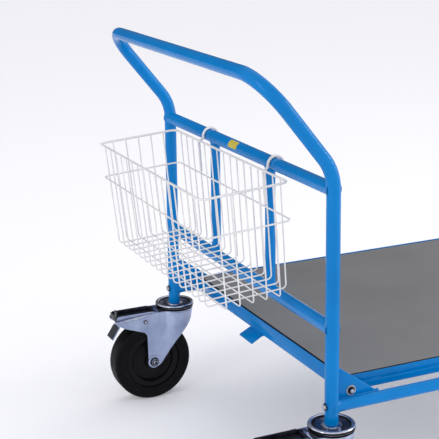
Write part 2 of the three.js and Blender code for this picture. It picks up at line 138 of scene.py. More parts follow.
# Lays a second colour over the base where a mask is high, and roughens it there.
def layOver(material, parts, mask, colour, roughness):
    tree = material.node_tree
    mix = addNode(
        material,
        "Mix",
        {"data_type": "RGBA", "blend_type": "MIX", 7: fromHex(colour)},
        {0: mask, 6: parts["shade"]},
    )
    rough = addNode(material, "Mix", {3: roughness}, {0: mask, 2: parts["rough"]})
    parts["shade"], parts["rough"] = mix.outputs[2], rough.outputs[0]
    tree.links.new(parts["shade"], parts["shader"].inputs["Base Color"])
    tree.links.new(parts["rough"], parts["shader"].inputs["Roughness"])


# A mask from noise, kept to faces that look up when upward is set
def dustMask(material, parts, sizeMm, low, high, amount, upward=False):
    noise = addNode(
        material,
        "TexNoise",
        {"Scale": perMetre(sizeMm), "Detail": 8.0, "Roughness": 0.7},
        {"Vector": parts["place"]},
    ).outputs["Fac"]
    mask = addNode(
        material,
        "MapRange",
        {"From Min": low, "From Max": high, "To Min": 0.0, "To Max": amount},
        {"Value": noise},
    ).outputs["Result"]
    if not upward:
        return mask
    facing = addNode(
        material, "SeparateXYZ", {}, {0: addNode(material, "NewGeometry").outputs["Normal"]}
    ).outputs["Z"]
    top = addNode(
        material, "MapRange", {"From Min": 0.3, "From Max": 0.9}, {"Value": facing}
    ).outputs["Result"]
    return addNode(material, "Math", {"operation": "MULTIPLY"}, {0: mask, 1: top}).outputs[0]


# Bright blue polyester powder coat, baked: smooth and semi-gloss with a faint
# orange peel, a little dust lying on what faces up.
powder = {
    "name": "blue polyester powder coat, semi-gloss",
    "dark": "#006FB4",
    "light": "#0079C2",
    "cloudMm": 160,
    "grainMm": 2.2,
    "gloss": (0.09, 0.17),
    "bumpMm": 0.03,
    "ior": 1.5,
    "specular": 0.15,
}
powderCoat, parts = makeFinish(powder)
layOver(powderCoat, parts, dustMask(powderCoat, parts, 45, 0.5, 0.8, 0.05, True), "#5F93B8", 0.4)
layOver(powderCoat, parts, dustMask(powderCoat, parts, 3.5, 0.71, 0.76, 0.5), "#00599A", 0.4)

# Plywood deck faced with grey phenolic film: flat mid grey, matt, with a fine
# pressed mesh and faint scuffs from goods.
film = {
    "name": "grey phenolic film on plywood, matt",
    "dark": "#707072",
    "light": "#78787A",
    "cloudMm": 220,
    "grainMm": 1.6,
    "gloss": (0.5, 0.66),
    "bumpMm": 0.05,
    "ior": 1.5,
}
deckFilm, parts = makeFinish(film)
scuffPlace = addNode(
    deckFilm, "Mapping", {"Scale": (1.0, 0.07, 1.0), "Rotation": (0, 0, 0.3)}, {"Vector": parts["place"]}
).outputs[0]
scuff = addNode(
    deckFilm, "TexNoise", {"Scale": perMetre(9), "Detail": 6.0}, {"Vector": scuffPlace}
).outputs["Fac"]
scuffMask = addNode(
    deckFilm, "MapRange", {"From Min": 0.62, "From Max": 0.75, "To Max": 0.35}, {"Value": scuff}
).outputs["Result"]
layOver(deckFilm, parts, scuffMask, "#868688", 0.7)
layOver(deckFilm, parts, dustMask(deckFilm, parts, 70, 0.55, 0.8, 0.3, True), "#888580", 0.75)

# Pressed steel, zinc plated with blue passivation: bright, slightly bluish silver
# with cloudy patches and fine drawing lines down the sheet.
zinc = {
    "name": "blue-passivated zinc plate on pressed steel",
    "dark": "#96A4C6",
    "light": "#B6C2DE",
    "cloudMm": 38,
    "grainMm": 1.1,
    "gloss": (0.26, 0.36),
    "bumpMm": 0.05,
    "metallic": 0.92,
}
zincPlate, parts = makeFinish(zinc)
drawnPlace = addNode(
    zincPlate, "Mapping", {"Scale": (1.0, 1.0, 0.06)}, {"Vector": parts["place"]}
).outputs[0]
drawn = addNode(
    zincPlate, "TexNoise", {"Scale": perMetre(2.5), "Detail": 4.0}, {"Vector": drawnPlace}
).outputs["Fac"]
drawnMask = addNode(
    zincPlate, "MapRange", {"From Min": 0.5, "From Max": 0.75, "To Max": 0.22}, {"Value": drawn}
).outputs["Result"]
layOver(zincPlate, parts, drawnMask, "#878E9E", 0.42)
layOver(zincPlate, parts, dustMask(zincPlate, parts, 12, 0.62, 0.78, 0.2), "#8E8E90", 0.5)

# Bright zinc on the dished castor heads: shinier than the fork, nearly mirror. On the rolled edges of the fork arms
# it is a painted highlight.
bright = {
    "name": "bright zinc plate, polished",
    "dark": "#9AA0B4",
    "light": "#D2D7E6",
    "cloudMm": 18,
    "grainMm": 0.8,
    "gloss": (0.14, 0.3),
    "bumpMm": 0.02,
    "metallic": 1.0,
}
brightZincAndHighlight, parts = makeFinish(bright)
layOver(brightZincAndHighlight, parts, dustMask(brightZincAndHighlight, parts, 9, 0.58, 0.72, 0.4), "#5E6068", 0.45)

# Zinc plate in the wells of the castor heads, painted dark with near-black specks: a painted dark reflection in the
# dish. Glossy, with sharp highlights.
darkReflect = {
    "name": "zinc plate, painted dark reflection",
    "dark": "#2E3348",
    "light": "#5C647E",
    "cloudMm": 16,
    "grainMm": 2.0,
    "gloss": (0.1, 0.24),
    "bumpMm": 0.12,
    "metallic": 0.95,
}
darkReflectZinc, parts = makeFinish(darkReflect)
layOver(darkReflectZinc, parts, dustMask(darkReflectZinc, parts, 7, 0.58, 0.7, 0.5), "#15161C", 0.4)

# Zinc-plated bolts and nuts: small, bright, with dull spots where a spanner sat.
bolts = {
    "name": "zinc-plated bolt steel",
    "dark": "#8E9199",
    "light": "#C4C7CE",
    "cloudMm": 5,
    "grainMm": 0.7,
    "gloss": (0.2, 0.42),
    "bumpMm": 0.03,
    "metallic": 1.0,
}
boltSteel, parts = makeFinish(bolts)
layOver(boltSteel, parts, dustMask(boltSteel, parts, 3, 0.58, 0.7, 0.5), "#6B665E", 0.6)

# Dark pressed steel with a soft sheen, worn a little brighter in places. On the brake lever it is painted shade: it
# covers the inside of the channel, which lies in shade, while the outer wall faces and the pedal keep the zinc.
passivated = {
    "name": "dark steel and painted shade",
    "dark": "#1C1E27",
    "light": "#343846",
    "cloudMm": 14,
    "grainMm": 0.9,
    "gloss": (0.3, 0.5),
    "bumpMm": 0.04,
    "metallic": 0.75,
}
darkSteelAndShade, parts = makeFinish(passivated)
layOver(darkSteelAndShade, parts, dustMask(darkSteelAndShade, parts, 6, 0.6, 0.72, 0.5), "#6C707C", 0.4)

# Solid black rubber, moulded: dull, very slightly warm, grey dust on it.
rubber = {
    "name": "solid black rubber, moulded",
    "dark": "#040406",
    "light": "#09090B",
    "cloudMm": 30,
    "grainMm": 1.0,
    "gloss": (0.42, 0.62),
    "bumpMm": 0.06,
    "ior": 1.52,
    "specular": 0.1,
}
blackRubber, parts = makeFinish(rubber)
layOver(blackRubber, parts, dustMask(blackRubber, parts, 22, 0.5, 0.8, 0.05), "#5A5856", 0.8)

# Black polypropylene wheel centre: smoother than the tyre, soft satin.
polypropylene = {
    "name": "black polypropylene, moulded",
    "dark": "#060608",
    "light": "#0B0B0E",
    "cloudMm": 24,
    "grainMm": 0.9,
    "gloss": (0.34, 0.5),
    "bumpMm": 0.03,
    "ior": 1.49,
    "specular": 0.14,
}
blackPlastic, parts = makeFinish(polypropylene)
layOver(blackPlastic, parts, dustMask(blackPlastic, parts, 15, 0.5, 0.8, 0.05), "#4A4A4E", 0.7)

# Dark grey nylon of the pedal pads, with a coarse spark-eroded grain.
nylon = {
    "name": "dark grey nylon, spark-eroded grain",
    "dark": "#1C1E23",
    "light": "#2E3138",
    "cloudMm": 6,
    "grainMm": 1.3,
    "gloss": (0.5, 0.68),
    "bumpMm": 0.25,
    "bumpStrength": 0.9,
    "ior": 1.53,
}
greyNylon, parts = makeFinish(nylon)
layOver(greyNylon, parts, dustMask(greyNylon, parts, 2.5, 0.58, 0.68, 0.6), "#5C5F66", 0.7)

# Steel wire dipped in white plastic, on a light grey base that also paints the wires' shade so they stand out from
# the pale floor: smooth, softly glossy, faint yellowing and grey handling marks.
dipped = {
    "name": "white plastic-dipped wire",
    "dark": "#CECDCE",
    "light": "#DEDDDE",
    "cloudMm": 60,
    "grainMm": 1.5,
    "gloss": (0.3, 0.45),
    "bumpMm": 0.03,
    "ior": 1.5,
}
whiteWire, parts = makeFinish(dipped)
layOver(whiteWire, parts, dustMask(whiteWire, parts, 8, 0.6, 0.74, 0.4), "#B0AEA8", 0.6)

# Black on the cut edges of the deck board: painted shade for the dark gap between the board and its rails; uneven,
# satin.
gapShade = {
    "name": "black board edges, painted gap shade",
    "dark": "#0B0B0C",
    "light": "#161617",
    "cloudMm": 20,
    "grainMm": 1.5,
    "gloss": (0.45, 0.65),
    "bumpMm": 0.15,
    "ior": 1.5,
}
gapShadeBlack, parts = makeFinish(gapShade)
layOver(gapShadeBlack, parts, dustMask(gapShadeBlack, parts, 10, 0.58, 0.75, 0.3), "#3A3633", 0.8)

# Yellow vinyl sticker, blank: flat satin, edges slightly soiled.
vinyl = {
    "name": "yellow vinyl sticker, satin",
    "dark": "#B9A83A",
    "light": "#CDBC4A",
    "cloudMm": 12,
    "grainMm": 0.8,
    "gloss": (0.35, 0.5),
    "bumpMm": 0.02,
    "ior": 1.5,
}
yellowVinyl, parts = makeFinish(vinyl)
layOver(yellowVinyl, parts, dustMask(yellowVinyl, parts, 4, 0.55, 0.7, 0.4), "#A8985A", 0.6)
print("materials made")


# ---- modelling helpers ------------------------------------------------------
def vertsOf(geometry):
    return [g for g in geometry if isinstance(g, bmesh.types.BMVert)]


def edgesOf(geometry):
    return [g for g in geometry if isinstance(g, bmesh.types.BMEdge)]


def facesOf(geometry):
    return [g for g in geometry if isinstance(g, bmesh.types.BMFace)]


# Turns a finished bmesh into a piece: merges it, points its faces outwards, shades it smooth up to the given angle,
# hangs it on its body and hides the parts it replaces.
def finishPiece(name, shape, material, body, replaced=(), smooth=35, others=(), where=None):
    bmesh.ops.remove_doubles(shape, verts=shape.verts[:], dist=1e-6)
    bmesh.ops.recalc_face_normals(shape, faces=shape.faces[:])
    mesh = bpy.data.meshes.new(name)
    shape.to_mesh(mesh)
    shape.free()
    mesh.shade_smooth()
    mesh.set_sharp_from_angle(angle=math.radians(smooth))
    mesh.materials.append(material)
    for other in others:
        mesh.materials.append(other)
    if others:
        for face in mesh.polygons:
            face.material_index = int(where(face))
    piece = bpy.data.objects.new(name, mesh)
    bpy.context.scene.collection.objects.link(piece)
    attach(piece, body)
    if replaced:
        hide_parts(*replaced)
    return piece


def extrudeLoop(shape, loop, move):
    made = bmesh.ops.extrude_edge_only(shape, edges=loop)["geom"]
    fresh = dict.fromkeys(vertsOf(made))
    bmesh.ops.translate(shape, verts=list(fresh), vec=move)
    return list(dict.fromkeys(e for v in fresh for e in v.link_edges if e.other_vert(v) in fresh))


def startCircle(shape, radius, sideCount, centre, direction):
    turn = direction.to_track_quat("Z", "Y").to_matrix().to_4x4()
    ring = bmesh.ops.create_circle(
        shape, radius=radius, segments=sideCount, matrix=Matrix.Translation(centre) @ turn
    )["verts"]
    return list(dict.fromkeys(e for v in ring for e in v.link_edges))


# Round bar or wire through the corners: straight runs are extruded, bends are spun.
def bentBar(shape, corners, diameter, bends, sideCount, stepDegrees):
    loop = startCircle(
        shape, diameter / 2000, sideCount, corners[0], (corners[1] - corners[0]).normalized()
    )
    bmesh.ops.contextual_create(shape, geom=loop)
    here = corners[0]
    for i, bend in enumerate(bends, 1):
        back = (corners[i - 1] - corners[i]).normalized()
        onward = (corners[i + 1] - corners[i]).normalized()
        angle = math.pi - back.angle(onward)
        reach = bend / 1000 * math.tan(angle / 2)
        loop = extrudeLoop(shape, loop, corners[i] + back * reach - here)
        centre = corners[i] + (back + onward).normalized() * (bend / 1000 / math.cos(angle / 2))
        ring = list(dict.fromkeys(v for e in loop for v in e.verts))
        steps = max(2, round(math.degrees(angle) / stepDegrees))
        spun = bmesh.ops.spin(
            shape, geom=ring + loop, cent=centre, axis=onward.cross(back), angle=angle, steps=steps
        )["geom_last"]
        loop = edgesOf(spun)
        here = corners[i] + onward * reach
    loop = extrudeLoop(shape, loop, corners[-1] - here)
    bmesh.ops.contextual_create(shape, geom=loop)


# Weld fillet at a coped tube end: distance from the joint and growth of the radius.
weldFillet = [(-1.5, 2.8), (0.5, 2.5), (1.4, 1.3), (2.6, 0.5), (4.2, 0.0)]


# Straight tube whose ends are shaped to the tubes they meet, with a weld fillet.
def copedTube(name, start, end, diameter, mains, material, body, replaced):
    shape = bmesh.new()
    along = (end - start).normalized()
    length = (end - start).length
    loop = startCircle(shape, diameter / 2000, 48, start, along)
    stations = [(0, d, grow) for d, grow in weldFillet]
    stations += [(1, d, grow) for d, grow in reversed(weldFillet)]
    for i, (atEnd, distance, grow) in enumerate(stations):
        if i:
            loop = extrudeLoop(shape, loop, Vector((0, 0, 0)))
        mainDiameter, mainAxis = mains[atEnd]
        lateral = along.cross(mainAxis).normalized()
        for v in dict.fromkeys(v for e in loop for v in e.verts):
            spoke = v.co - start
            spoke = (spoke - along * spoke.dot(along)).normalized() * (diameter / 2 + grow) / 1000
            t = spoke.dot(lateral)
            saddle = math.sqrt(max((mainDiameter / 2000) ** 2 - t * t, 0)) + distance / 1000
            v.co = start + spoke + along * (length - saddle if atEnd else saddle)
        if i in (0, len(stations) - 1):
            bmesh.ops.contextual_create(shape, geom=loop)
    return finishPiece(name, shape, material, body, replaced, smooth=50)


def roundEdges(shape, width, segments=2, angle=30, only=None):
    edges = [
        e
        for e in shape.edges
        if len(e.link_faces) == 2
        and e.calc_face_angle(0) > math.radians(angle)
        and (only is None or only(e))
    ]
    bmesh.ops.bevel(
        shape,
        geom=edges,
        offset=width / 1000,
        offset_type="OFFSET",
        segments=segments,
        profile=0.5,
        affect="EDGES",
        clamp_overlap=True,
        material=-1,
    )


# Adds one shape's geometry to another
def merge(target, source):
    mesh = bpy.data.meshes.new("carried")
    source.to_mesh(mesh)
    source.free()
    target.from_mesh(mesh)
    bpy.data.meshes.remove(mesh)


# Block between two corners with rounded edges
def addBlock(shape, low, high, edge=0.8, segments=2):
    part = bmesh.new()
    size = high - low
    place = Matrix.Translation((low + high) / 2) @ Matrix.Diagonal((*size, 1))
    bmesh.ops.create_cube(part, size=1, matrix=place)
    if edge:
        roundEdges(part, edge, segments)
    merge(shape, part)


# Plate from an outline of (y, z, corner radius) points, between two x values
def addPlate(shape, outline, x0, x1, edge=0.6, segments=2):
    part = bmesh.new()
    verts = [part.verts.new(at(x0, y, z)) for y, z, _ in outline]
    part.faces.new(verts)
    for radius in sorted({r for _, _, r in outline if r}):
        corners = [v for v, (_, _, r) in zip(verts, outline) if r == radius]
        bmesh.ops.bevel(
            part,
            geom=corners,
            offset=radius / 1000,
            offset_type="OFFSET",
            segments=5,
            profile=0.5,
            affect="VERTICES",
            clamp_overlap=True,
            material=-1,
        )
    made = bmesh.ops.extrude_face_region(part, geom=part.faces[:])["geom"]
    bmesh.ops.translate(part, verts=vertsOf(made), vec=((x1 - x0) / 1000, 0, 0))
    bmesh.ops.recalc_face_normals(part, faces=part.faces[:])
    if edge:
        roundEdges(part, edge, segments, 50)
    merge(shape, part)


# Shape turned about an axis through the centre; the profile holds (radius, distance)
# along that axis
def addTurned(shape, profile, centre, axis="Z", steps=64):
    part = bmesh.new()
    verts = [part.verts.new((r / 1000, 0, z / 1000)) for r, z in profile]
    edges = [part.edges.new(pair) for pair in zip(verts, verts[1:])]
    bmesh.ops.spin(
        part,
        geom=verts + edges,
        cent=(0, 0, 0),
        axis=(0, 0, 1),
        angle=2 * math.pi,
        steps=steps,
        use_merge=True,
    )
    bmesh.ops.remove_doubles(part, verts=part.verts[:], dist=1e-6)
    bmesh.ops.recalc_face_normals(part, faces=part.faces[:])
    turn = {"Z": Matrix(), "X": Matrix.Rotation(math.pi / 2, 4, "Y"), "Y": Matrix.Rotation(-math.pi / 2, 4, "X")}
    bmesh.ops.transform(part, matrix=Matrix.Translation(centre) @ turn[axis], verts=part.verts[:])
    merge(shape, part)


# Lumpy weld bead from a point along an axis
def addBead(shape, start, axis, length, radius, pitch=2.4):
    count = max(2, round(length / pitch))
    step = length / count
    profile = [(0, 0)]
    for i in range(count):
        swell = radius * (0.92 + 0.08 * math.sin(i * 2.3))
        profile += [(swell * 0.72, step * (i + 0.06)), (swell, step * (i + 0.42)), (swell * 0.9, step * (i + 0.75))]
    addTurned(shape, profile + [(0, length)], start, axis, 12)


# Hexagon bolt head or nut standing on a face, with a turned chamfer and washer face
def addHex(shape, centre, outward, across, height, turnDegrees=0):
    part = bmesh.new()
    bmesh.ops.create_cone(
        part,
        cap_ends=True,
        segments=6,
        radius1=across / 2000 / math.cos(math.pi / 6),
        radius2=across / 2000 / math.cos(math.pi / 6),
        depth=height / 1000,
        matrix=Matrix.Rotation(math.radians(turnDegrees), 4, "Z"),
    )
    outer = [e for e in part.edges if all(v.co.z > 0 for v in e.verts)]
    bmesh.ops.bevel(
        part, geom=outer, offset=0.0009, offset_type="OFFSET", segments=2, profile=0.5,
        affect="EDGES", clamp_overlap=True, material=-1,
    )
    turn = outward.to_track_quat("Z", "Y").to_matrix().to_4x4()
    place = Matrix.Translation(centre + outward * height / 2000) @ turn
    bmesh.ops.transform(part, matrix=place, verts=part.verts[:])
    merge(shape, part)


# Threaded end: a row of small ridges, turned
def threadProfile(radius, start, end, pitch=1.5):
    profile = [(0, start), (radius, start)]
    count = max(1, int((end - start) / pitch))
    for i in range(count):
        z = start + i * pitch
        profile += [(radius, z + 0.2), (radius - 0.5, z + pitch / 2), (radius, z + pitch - 0.2)]
    return profile + [(radius - 1, end), (0, end)]


# ---- handle frame ------------------------------------------------------------
handle = {
    "halfWidth": 395,
    "tube": 28,
    "foot": 236.3,
    "bendZ": 746,
    "bendRadius": 100,
    "gripY": -150,
    "gripZ": 933,
    "gripRadius": 81,
    "lowerBarZ": 434,
    "upperBarZ": 711,
    "strutX": 135,
    "strut": 22,
}
h = handle
shape = bmesh.new()
corners = [
    at(-h["halfWidth"], 0, h["foot"]),
    at(-h["halfWidth"], 0, h["bendZ"]),
    at(-h["halfWidth"], h["gripY"], h["gripZ"]),
    at(h["halfWidth"], h["gripY"], h["gripZ"]),
    at(h["halfWidth"], 0, h["bendZ"]),
    at(h["halfWidth"], 0, h["foot"]),
]
bends = [h["bendRadius"], h["gripRadius"], h["gripRadius"], h["bendRadius"]]
bentBar(shape, corners, h["tube"], bends, 48, 4)
finishPiece("bentHandleTube", shape, powderCoat, "frame", ["handle_tube"])

upAxis, acrossAxis, alongAxis = Vector((0, 0, 1)), Vector((1, 0, 0)), Vector((0, 1, 0))
for name, z in (("lower_crossbar", h["lowerBarZ"]), ("upper_crossbar", h["upperBarZ"])):
    copedTube(
        "welded_" + name,
        at(-h["halfWidth"], 0, z),
        at(h["halfWidth"], 0, z),
        h["tube"],
        [(h["tube"], upAxis)] * 2,
        powderCoat,
        "frame",
        [name],
    )
for name, side in sides.items():
    copedTube(
        "weldedStrut_" + name,
        at(side * h["strutX"], 0, h["lowerBarZ"]),
        at(side * h["strutX"], 0, h["upperBarZ"]),
        h["strut"],
        [(h["tube"], acrossAxis)] * 2,
        powderCoat,
        "frame",
        ["strut_" + name],
    )

# blank sticker wrapped round the front of the upper crossbar
sticker = {"x": (-38, 2), "fromDegrees": 108, "toDegrees": 182, "corner": 3, "thick": 0.35}
shape = bmesh.new()
wide, radius = sticker["x"][1] - sticker["x"][0], h["tube"] / 2 + 0.25
arcLength = math.radians(sticker["toDegrees"] - sticker["fromDegrees"]) * radius
corners = [(0, 0), (wide, 0), (wide, arcLength), (0, arcLength)]
verts = [shape.verts.new(Vector((x, y, 0))) for x, y in corners]
shape.faces.new(verts)
bmesh.ops.bevel(
    shape, geom=verts, offset=sticker["corner"], offset_type="OFFSET", segments=5, profile=0.5,
    affect="VERTICES", clamp_overlap=True, material=-1,
)
made = bmesh.ops.extrude_face_region(shape, geom=shape.faces[:])["geom"]
bmesh.ops.translate(shape, verts=vertsOf(made), vec=(0, 0, sticker["thick"]))
for i in range(1, 12):
    bmesh.ops.bisect_plane(
        shape,
        geom=shape.verts[:] + shape.edges[:] + shape.faces[:],
        plane_co=(0, arcLength * i / 12, 0),
        plane_no=(0, 1, 0),
    )
for v in shape.verts:
    angle = math.radians(sticker["toDegrees"]) - v.co.y / radius
    out = radius + v.co.z
    v.co = at(
        sticker["x"][0] + v.co.x,
        out * math.cos(angle),
        h["upperBarZ"] + out * math.sin(angle),
    )
finishPiece("wrappedSticker", shape, yellowVinyl, "frame", ["label_plate"])
print("handle frame made")

# ---- side frame ----------------------------------------------------------------
sideFrame = {"tube": 25, "z": 273, "crossZ": 266.2, "crossY": (330, 780), "postTop": 326}
s = sideFrame
for name, side in sides.items():
    x = side * h["halfWidth"]
    copedTube(
        "weldedSideTube_" + name,
        at(x, 0, s["z"]),
        at(x, postY, s["z"]),
        s["tube"],
        [(h["tube"], upAxis)] * 2,
        powderCoat,
        "frame",
        ["side_tube_" + name],
    )
    shape = bmesh.new()
    bentBar(
        shape, [at(x, postY, h["foot"]), at(x, postY, s["postTop"])], h["tube"], [], 48, 10
    )
    finishPiece(
        "rearPost_" + name, shape, powderCoat, "frame", ["rear_post_" + name]
    )
    top = s["postTop"]
    shape = bmesh.new()
    dome = [(h["tube"] / 2, top + 0.2), (h["tube"] / 2, top + 1.6), (h["tube"] / 2 - 0.6, top + 2.4)]
    dome += [(h["tube"] / 2 - 2, top + 3.0), (h["tube"] / 2 - 5, top + 3.4), (0, top + 3.5)]
    addTurned(shape, [(0, top + 0.2)] + dome, at(x, postY, 0), steps=48)
    finishPiece(
        "postCap_" + name, shape, blackPlastic, "frame", ["post_cap_" + name]
    )
for name, y in zip(("front", "rear"), s["crossY"]):
    copedTube(
        "weldedCrossTube_" + name,
        at(-h["halfWidth"], y, s["crossZ"]),
        at(h["halfWidth"], y, s["crossZ"]),
        s["tube"],
        [(s["tube"], alongAxis)] * 2,
        powderCoat,
        "frame",
        ["cross_tube_" + name],
    )

# ---- gussets ---------------------------------------------------------------------
gusset = {"x": (384.8, 388.8), "foot": 284.5, "reach": 101, "rise": 354, "bolt": (47, 297)}
g = gusset
for name, side in sides.items():
    shape = bmesh.new()
    outline = [(12, g["foot"], 0), (g["reach"], g["foot"], 2), (g["reach"], 289.5, 2), (13, g["rise"], 3)]
    xs = sorted(side * x for x in g["x"])
    addPlate(shape, outline, *xs, edge=1.3, segments=3)
    # weld beads along the upright and the side tube
    addBead(shape, at(side * 388.6, 13.0, 287), "Z", g["rise"] - 292, 2.6)
    addBead(shape, at(side * 389.6, 15, 284.5), "Y", g["reach"] - 18, 3.2, 3.2)
    addBead(shape, at(side * 387.5, g["reach"] - 4, 285), "Y", 14, 4.2, 3.6)
    finishPiece("gussetPlate_" + name, shape, powderCoat, "frame", ["gusset_" + name])

    y, z = g["bolt"]
    out = Vector((side, 0, 0))
    shape = bmesh.new()
    span = [358.8, 384.5]
    profile = [(0, span[0]), (8, span[0]), (9, span[0] + 1), (9, span[1] - 1), (8, span[1]), (0, span[1])]
    addTurned(shape, [(r, side * d) for r, d in profile], at(0, y, z), "X", 40)
    finishPiece("spacerBush_" + name, shape, powderCoat, "frame", ["gusset_bush_" + name])

    # dark outer washer that paints the shade round the bolt, a bright washer and a dark nut on the screw end
    shape = bmesh.new()
    for radius, z0, z1 in ((10.9, 389.0, 389.8), (8.5, 389.7, 391.0)):
        washer = [(0, z0), (radius - 0.4, z0), (radius, z0 + 0.4), (radius - 0.4, z1), (0, z1)]
        addTurned(shape, [(r, side * d) for r, d in washer], at(0, y, z), "X", 40)
    addHex(shape, at(side * 390.8, y, z), out, 10, 4.2, 12)
    screw = [(r, side * d) for r, d in threadProfile(3.4, 370, 396.6)]
    addTurned(shape, screw, at(0, y, z), "X", 24)
    middle = at(0, y, z)

    def darkRingsAndShade(face, middle=middle):
        away = math.hypot(face.center.y - middle.y, face.center.z - middle.z) * 1000
        return away > 8.5 or 3.5 < away < 5.7

    finishPiece(
        "gussetBolt_" + name, shape, boltSteel, "frame", ["gusset_bolt_" + name],
        others=[darkSteelAndShade], where=darkRingsAndShade,
    )

# ---- deck ---------------------------------------------------------------------------
deck = {"inner": 350.5, "outer": 353.5, "bar": 358.5, "front": 47, "top": 310, "low": 279}
d = deck
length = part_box("deck_rail_right")
rear = (length[1][1] - uprightY) * 1000
for name, side in sides.items():
    shape = bmesh.new()

    def block(xs, ys, zs, edge):
        x0, x1 = sorted(side * x for x in xs)
        addBlock(shape, at(x0, ys[0], zs[0]), at(x1, ys[1], zs[1]), edge)

    block((d["inner"], d["outer"]), (d["front"], rear), (d["low"], d["top"]), 0.8)
    block((326.5, 351), (50, rear - 3), (294.3, 297.3), 0.8)
    block((353, d["bar"]), (d["front"] + 22, rear - 6), (280, 295), 0.9)
    for i in range(7):  # stitch welds along the bar
        addBead(shape, at(side * 354.2, 110 + i * 145, 295.2), "Y", 28, 1.6)
    finishPiece("deckAngle_" + name, shape, powderCoat, "frame", ["deck_rail_" + name])
for name, edge, inward in (("front", d["front"], 1), ("rear", rear, -1)):
    shape = bmesh.new()
    ys = sorted((edge, edge + inward * 3))
    addBlock(shape, at(-350.2, ys[0], d["low"]), at(350.2, ys[1], d["top"]), 0.8)
    ys = sorted((edge + inward * 1, edge + inward * 24))
    addBlock(shape, at(-326.2, ys[0], 294.3), at(326.2, ys[1], 297.3), 0.8)
    finishPiece("deckAngle_" + name, shape, powderCoat, "frame", ["deck_rail_" + name])

board = {"edge": 1.2}
shape = bmesh.new()
low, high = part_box("deck_board")
addBlock(shape, Vector(low), Vector(high), board["edge"], 3)
# The board's sides take the black: painted shade in the gap between board and rails.
finishPiece(
    "facedDeckBoard", shape, deckFilm, "frame", ["deck_board"],
    others=[gapShadeBlack], where=lambda face: abs(face.normal.z) < 0.8,
)

tab = {"x": (-58, 4), "thick": 3.5}
shape = bmesh.new()
outline = [(50, 278.7, 0), (50, 275.2, 0), (45.5, 275.2, 3), (20, 261, 0.8), (18.5, 264.5, 0.8), (46, 278.7, 5)]
addPlate(shape, outline, *tab["x"], edge=0.6)
addBead(shape, at(tab["x"][0] + 3, 47.2, 278.6), "X", tab["x"][1] - tab["x"][0] - 6, 1.5)
finishPiece("bentTab", shape, powderCoat, "frame", ["tab_plate"])
print("side frame and deck made")

# ---- castors ---------------------------------------------------------------------------
castor = {
    "foot": 236,
    "head": 48,
    "wheel": 100,
    "trail": 70,
    "forkInner": 27,
    "forkOuter": 30,
    "axle": 100,
    "boltZ": 276,
    "pivot": (-58, 222),
}
c = castor


# dished cover plate with a rolled edge, a well that is painted dark later as a dark reflection, and the stem nut in
# its middle
def addHead(shape, x, y):
    foot = c["foot"]
    profile = [
        (0, foot - 2.6),
        (20, foot - 2.8),
        (27, foot - 3.2),
        (32, foot - 2.4),
        (36, foot + 0.4),
        (39.5, foot + 3.6),
        (42, foot + 4.8),
        (44.5, foot + 5.0),
        (46.6, foot + 4.2),
        (47.8, foot + 2.4),
        (48, foot + 0.2),
        (47.6, foot - 2.2),
        (46, foot - 4.0),
        (43, foot - 4.8),
        (0, foot - 5.0),
    ]
    addTurned(shape, profile, at(x, y, 0), steps=96)
    collar = [(14.2, foot - 3), (21, foot - 3), (21.4, foot - 1.5), (20.4, foot + 1.2), (17.5, foot + 2.6), (14.2, foot + 2.8)]
    addTurned(shape, collar + collar[:1], at(x, y, 0), steps=64)


# pressed fork: both cheeks and the bridge are one bent sheet
def addFork(shape, x, y, outline, bridge, swell=None):
    part = bmesh.new()
    half = c["forkOuter"] - 1.5
    verts = [part.verts.new(at(x - half, y + v, z)) for v, z, _ in outline]
    part.faces.new(verts)
    for radius in sorted({r for _, _, r in outline if r}):
        corners = [v for v, (_, _, r) in zip(verts, outline) if r == radius]
        bmesh.ops.bevel(
            part, geom=corners, offset=radius / 1000, offset_type="OFFSET", segments=6, profile=0.5,
            affect="VERTICES", clamp_overlap=True, material=-1,
        )
    made = bmesh.ops.extrude_face_region(part, geom=part.faces[:])["geom"]
    bmesh.ops.translate(part, verts=vertsOf(made), vec=(2 * half / 1000, 0, 0))
    yLow, yHigh, zLow = (uprightY + (y + bridge[0]) / 1000, uprightY + (y + bridge[1]) / 1000, bridge[2] / 1000)

    def isBridge(f):
        middle = f.calc_center_median()
        return abs(f.normal.x) < 0.5 and middle.z > zLow and yLow < middle.y < yHigh

    part.normal_update()
    drop = [f for f in part.faces if abs(f.normal.x) < 0.5 and not isBridge(f)]
    bmesh.ops.delete(part, geom=drop, context="FACES")
    bmesh.ops.recalc_face_normals(part, faces=part.faces[:])
    folds = [e for e in part.edges if len(e.link_faces) == 2 and e.calc_face_angle(0) > 1.2]
    bmesh.ops.bevel(
        part, geom=folds, offset=0.007, offset_type="OFFSET", segments=6, profile=0.5,
        affect="EDGES", clamp_overlap=True, material=-1,
    )
    if swell:
        swellCheeks(part, x, y, half, swell)
    bmesh.ops.solidify(part, geom=part.faces[:], thickness=0.003)
    merge(shape, part)


# The cheeks swell out round the swivel axis below the crown and run flat to the axle
def swellCheeks(part, x, y, half, swell):
    cuts = [((0, uprightY + (y + v) / 1000, 0), (0, 1, 0)) for v in range(-64, 42, 4)]
    cuts += [((0, 0, z / 1000), (0, 0, 1)) for z in range(110, 228, 6)]
    for point, normal in cuts:
        bmesh.ops.bisect_plane(
            part, geom=part.verts[:] + part.edges[:] + part.faces[:], plane_co=point, plane_no=normal
        )
    bmesh.ops.remove_doubles(part, verts=part.verts[:], dist=0.0006)
    bmesh.ops.dissolve_degenerate(part, edges=part.edges[:], dist=0.0003)
    for v in part.verts:
        across = v.co.x * 1000 - x
        back = (v.co.y - uprightY) * 1000 - y
        share = min(max((v.co.z * 1000 - swell["low"]) / (swell["high"] - swell["low"]), 0), 1)
        share = share * share * (3 - 2 * share)
        ring = math.sqrt(max(swell["radius"] ** 2 - back * back, 100))
        if back < 0:
            ring = math.log(math.exp(ring / 3) + math.exp(half / 3)) * 3
        v.co.x = (x + across / half * (half + (ring - half) * share)) / 1000


